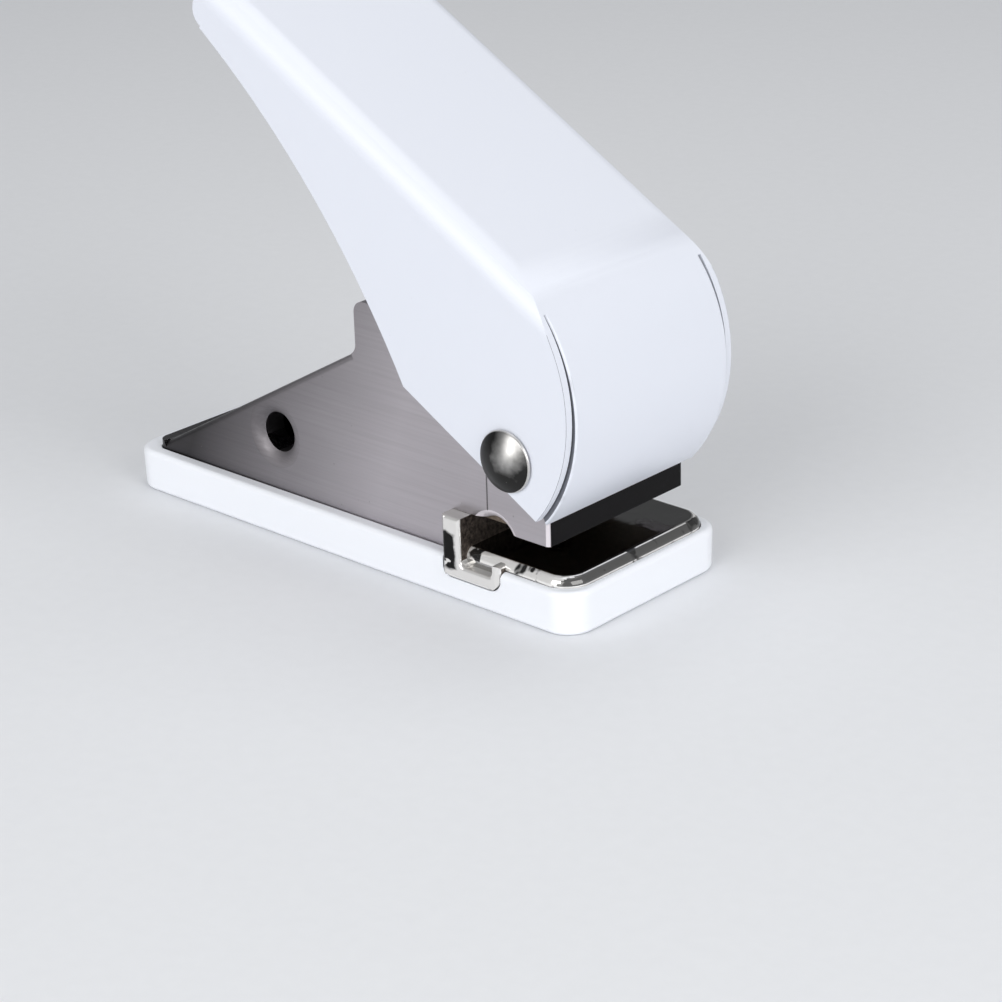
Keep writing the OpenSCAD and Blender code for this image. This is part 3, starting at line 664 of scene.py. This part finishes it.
class PUNCH_OT_punch_set(bpy.types.Operator):
    """Punch with its domed cap, and the wound spring on its washer"""
    bl_idname = "punch.punch_set"
    bl_label = "Punch Set"

    def execute(self, context):
        sizes = context.scene.punch_sizes
        steel = bpy.data.materials["turned_steel"]
        plain_piece("punch_pin", "punch_rod", "punch", steel, sizes.small_edge)
        plain_piece("punch_cap", "push_cap", "punch", steel, sizes.small_edge)
        plain_piece("spring_washer", "seat_washer", "body", steel, sizes.small_edge)
        self.wind_spring(sizes, steel)
        return {"FINISHED"}

    def wind_spring(self, sizes, steel):
        """Winds the wire with a closed turn at each end, as a compression spring has."""
        low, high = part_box("return_spring")
        centre = (low + high) / 2
        radius = (high.x - low.x - sizes.wire) / 2
        steps = 40
        open_rise = high.z - low.z - 3 * sizes.wire
        bm = bmesh.new()
        start = Matrix.Translation((centre.x + radius, centre.y, low.z + sizes.wire / 2))
        ring = bmesh.ops.create_circle(
            bm, radius=sizes.wire / 2, segments=12, matrix=start @ Matrix.Rotation(math.pi / 2, 4, "X"))
        bmesh.ops.contextual_create(bm, geom=ring["verts"])
        wire_end = [*ring["verts"], *{edge for vert in ring["verts"] for edge in vert.link_edges}]
        for turns, rise in ((1, sizes.wire), (sizes.turns, open_rise), (1, sizes.wire)):
            spun = bmesh.ops.spin(
                bm, geom=wire_end, cent=centre, axis=(0, 0, 1), angle=math.tau * turns,
                steps=steps * turns, dvec=(0, 0, rise / (steps * turns)))
            wire_end = spun["geom_last"]
        last = [item for item in wire_end if isinstance(item, bmesh.types.BMEdge)]
        bmesh.ops.contextual_create(bm, geom=last)
        bmesh.ops.remove_doubles(bm, verts=bm.verts, dist=WELD)
        bmesh.ops.recalc_face_normals(bm, faces=bm.faces)
        spring = show(bm, "wound_spring", "body", steel, "return_spring")
        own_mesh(spring)


class PUNCH_OT_folded_lever(bpy.types.Operator):
    """White lever folded from sheet, with the slits of its nose"""
    bl_idname = "punch.folded_lever"
    bl_label = "Folded Lever"

    def execute(self, context):
        sizes, colours = context.scene.punch_sizes, context.scene.punch_colours
        bm = welded("lever_handle")
        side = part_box("lever_handle")[1].y / MM
        strip_side, nose = side - 1.2, 20
        outer = round_edges(bm, sizes.lever_edge, where=lambda at: abs(at.y) > side - 0.1)
        # Painted shade on the walls' front edges
        mark(bm, "painted_shade", lambda at, facing: facing.x > 0.3, 0.8, outer)
        round_edges(
            bm, sizes.slit_edge,
            where=lambda at: abs(abs(at.y) - strip_side) < 0.05 and at.x > nose, clamp=False)
        # Painted shade on the faces inside the slits
        mark(
            bm, "painted_shade",
            lambda at, facing: abs(abs(at.y) - strip_side) < 0.1 and abs(facing.y) > 0.9 and at.x > nose)
        show(bm, "folded_lever", "lever", white_enamel(colours.enamel), "lever_handle")
        return {"FINISHED"}


class PUNCH_OT_pivot_rivet(bpy.types.Operator):
    """Domed rivet through the lever and its two spacer rings"""
    bl_idname = "punch.pivot_rivet"
    bl_label = "Pivot Rivet"

    def execute(self, context):
        sizes, colours = context.scene.punch_sizes, context.scene.punch_colours
        low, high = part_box("pivot_rivet")
        nickel = rivet_nickel(colours.bright, (low + high) / 2, (high.z - low.z) / 2)
        plain_piece("pivot_rivet", "domed_rivet", "body", nickel, sizes.rivet_edge)
        steel = bpy.data.materials["turned_steel"]
        plain_piece("pivot_spacers", "spacer_rings", "body", steel, sizes.small_edge)
        return {"FINISHED"}


def towards(turn, rise):
    """Direction from the punch to a lamp or camera at that azimuth and elevation."""
    return Vector((math.sin(turn) * math.cos(rise), -math.cos(turn) * math.cos(rise), math.sin(rise)))


class PUNCH_OT_stage(bpy.types.Operator):
    """Pale floor, soft lights and the camera"""
    bl_idname = "punch.stage"
    bl_label = "Stage"

    def execute(self, context):
        scene, stage = context.scene, context.scene.punch_stage
        scene.view_settings.view_transform = "Standard"
        self.lay_floor(scene)
        self.hang_lights(scene, stage)
        self.place_camera(scene, stage)
        return {"FINISHED"}

    def lay_floor(self, scene):
        bm = bmesh.new()
        bmesh.ops.create_circle(bm, cap_ends=True, radius=4.0, segments=64)
        mesh = bpy.data.meshes.new("floor")
        bm.to_mesh(mesh)
        bm.free()
        mesh.transform(Matrix.Translation((0, 0, -0.02 * MM)))
        mesh.materials.append(floor_card(scene.punch_colours.floor))
        floor = bpy.data.objects.new("floor", mesh)
        scene.collection.objects.link(floor)

    def hang_lights(self, scene, stage):
        aim = Vector((0, 0, 25 * MM))
        away = 750 * MM
        for name, power, size, azimuth, height in (
            ("key", stage.key, 0.6, 5, 24),
            ("fill", stage.fill, 0.5, 85, 24),
            ("top", stage.top, 0.6, 200, 75),
        ):
            light = bpy.data.lights.new(name, "AREA")
            light.shape = "SQUARE"
            light.size = size
            light.energy = power
            lamp = bpy.data.objects.new(name, light)
            back = towards(math.radians(azimuth), math.radians(height))
            lamp.matrix_world = Matrix.LocRotScale(aim + away * back, back.to_track_quat("Z", "Y"), None)
            scene.collection.objects.link(lamp)
        world = bpy.data.worlds.new("room")
        world.use_nodes = True
        backdrop = world.node_tree.nodes["Background"]
        backdrop.inputs["Color"].default_value = (0.95, 0.97, 1.0, 1.0)
        backdrop.inputs["Strength"].default_value = stage.room
        scene.world = world

    def place_camera(self, scene, stage):
        turn, roll = stage.azimuth, stage.roll
        back = towards(turn, stage.elevation)
        level = Vector((math.cos(turn), math.sin(turn), 0))
        upright = back.cross(level)
        right = math.cos(roll) * level + math.sin(roll) * upright
        up = math.cos(roll) * upright - math.sin(roll) * level
        lens = bpy.data.cameras.new("photo_camera")
        lens.sensor_width = 36
        lens.lens = stage.lens
        lens.clip_start = 0.01
        lens.clip_end = 20
        camera = bpy.data.objects.new("photo_camera", lens)
        turned = Matrix((right, up, back)).transposed().to_4x4()
        place = stage.distance * back + stage.aside * right + stage.above * up
        camera.matrix_world = Matrix.Translation(place) @ turned
        scene.collection.objects.link(camera)
        scene.camera = camera


class PUNCH_PT_sidebar(bpy.types.Panel):
    """Lists the pieces and their settings"""
    bl_idname = "PUNCH_PT_sidebar"
    bl_label = "Flight Punch"
    bl_space_type = "VIEW_3D"
    bl_region_type = "UI"
    bl_category = "Flight Punch"

    def draw(self, context):
        for operator in OPERATORS:
            self.layout.operator(operator.bl_idname)
        for group in (context.scene.punch_sizes, context.scene.punch_colours, context.scene.punch_stage):
            box = self.layout.box()
            for name in group.bl_rna.properties.keys():
                if name not in ("rna_type", "name"):
                    box.prop(group, name)


GROUPS = (PunchSizes, PunchColours, PunchStage)
OPERATORS = (
    PUNCH_OT_chip_tray, PUNCH_OT_cast_body, PUNCH_OT_jaw_cover, PUNCH_OT_guide_block, PUNCH_OT_lower_jaw,
    PUNCH_OT_punch_set, PUNCH_OT_folded_lever, PUNCH_OT_pivot_rivet, PUNCH_OT_stage,
)
CLASSES = (*GROUPS, *OPERATORS, PUNCH_PT_sidebar)


def register():
    for cls in CLASSES:
        bpy.utils.register_class(cls)
    bpy.types.Scene.punch_sizes = PointerProperty(type=PunchSizes)
    bpy.types.Scene.punch_colours = PointerProperty(type=PunchColours)
    bpy.types.Scene.punch_stage = PointerProperty(type=PunchStage)


def unregister():
    del bpy.types.Scene.punch_sizes
    del bpy.types.Scene.punch_colours
    del bpy.types.Scene.punch_stage
    for cls in reversed(CLASSES):
        bpy.utils.unregister_class(cls)


def main():
    register()
    bpy.ops.punch.chip_tray()
    bpy.ops.punch.cast_body()
    bpy.ops.punch.jaw_cover()
    bpy.ops.punch.guide_block()
    bpy.ops.punch.lower_jaw()
    bpy.ops.punch.punch_set()
    bpy.ops.punch.folded_lever()
    bpy.ops.punch.pivot_rivet()
    bpy.ops.punch.stage()


if __name__ == "__main__":
    main()
